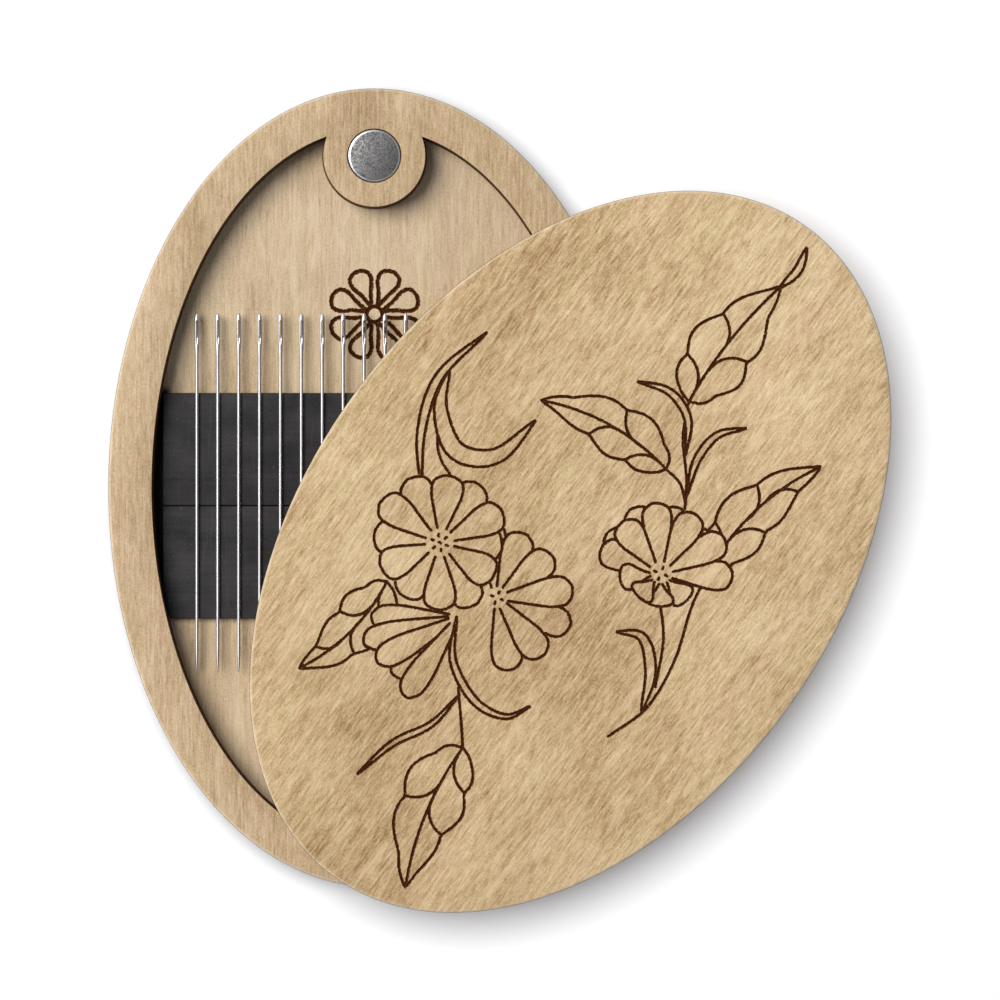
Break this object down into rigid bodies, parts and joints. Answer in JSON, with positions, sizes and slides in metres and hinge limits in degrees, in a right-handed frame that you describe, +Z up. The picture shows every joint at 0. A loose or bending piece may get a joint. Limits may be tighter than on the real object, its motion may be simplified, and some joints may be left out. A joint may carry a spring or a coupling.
{
  "type": "needle case",
  "caption": "Oval plywood needle case: a flat lid swivels on a hidden magnet pair over a recessed base, whose magnetic strips hold a row of sewing needles.",
  "frame": {"origin": "centre of the base's oval underside", "axes": "+Z up, out of the open case; +Y along the base's length, towards the closing magnet; +X towards the side that the lid is swung to"},
  "size_m": [0.088, 0.0926, 0.0123],
  "materials": {
    "birch_plywood": "sanded, bare birch with laser-darkened cut edges",
    "nickel_magnet": "nickel plating, dull speckled face and bright rim",
    "magnetic_sheet": "matte black flexible magnet",
    "needle_steel": "bright nickel-plated steel"
  },
  "bodies": {
    "base": {"base_plate": "birch_plywood", "base_frame": "birch_plywood", "base_closing_magnet": "nickel_magnet", "base_pivot_magnet": "nickel_magnet", "magnet_strip_upper": "magnetic_sheet", "magnet_strip_lower": "magnetic_sheet", "needle_04": "needle_steel", "needle_05": "needle_steel", "needle_06": "needle_steel", "needle_07": "needle_steel", "needle_08": "needle_steel", "needle_09": "needle_steel", "needle_10": "needle_steel", "needle_11": "needle_steel", "needle_12": "needle_steel", "needle_13": "needle_steel", "needle_14": "needle_steel", "needle_15": "needle_steel", "needle_16": "needle_steel", "needle_17": "needle_steel", "needle_18": "needle_steel"},
    "lid_pivot": {"lid_pivot_magnet": "nickel_magnet"},
    "lid": {"lid_plate": "birch_plywood", "lid_frame": "birch_plywood", "lid_closing_magnet": "nickel_magnet"},
    "needle_01": {"needle_01": "needle_steel"},
    "needle_02": {"needle_02": "needle_steel"},
    "needle_03": {"needle_03": "needle_steel"}
  },
  "joints": [
    {"name": "lid_lift", "type": "slide", "parent": "base", "child": "lid_pivot", "axis": [0, 0, 1], "range_m": [0, 0.025]},
    {"name": "lid_swivel", "type": "hinge", "parent": "lid_pivot", "child": "lid", "pos_m": [0, -0.0374, 0.0062], "axis": [0, 0, -1], "range_deg": [-36.13, 143.87]},
    {"name": "needle_01_lift", "type": "slide", "parent": "base", "child": "needle_01", "axis": [0, 0, 1], "range_m": [0, 0.02]},
    {"name": "needle_02_lift", "type": "slide", "parent": "base", "child": "needle_02", "axis": [0, 0, 1], "range_m": [0, 0.02]},
    {"name": "needle_03_lift", "type": "slide", "parent": "base", "child": "needle_03", "axis": [0, 0, 1], "range_m": [0, 0.02]}
  ]
}
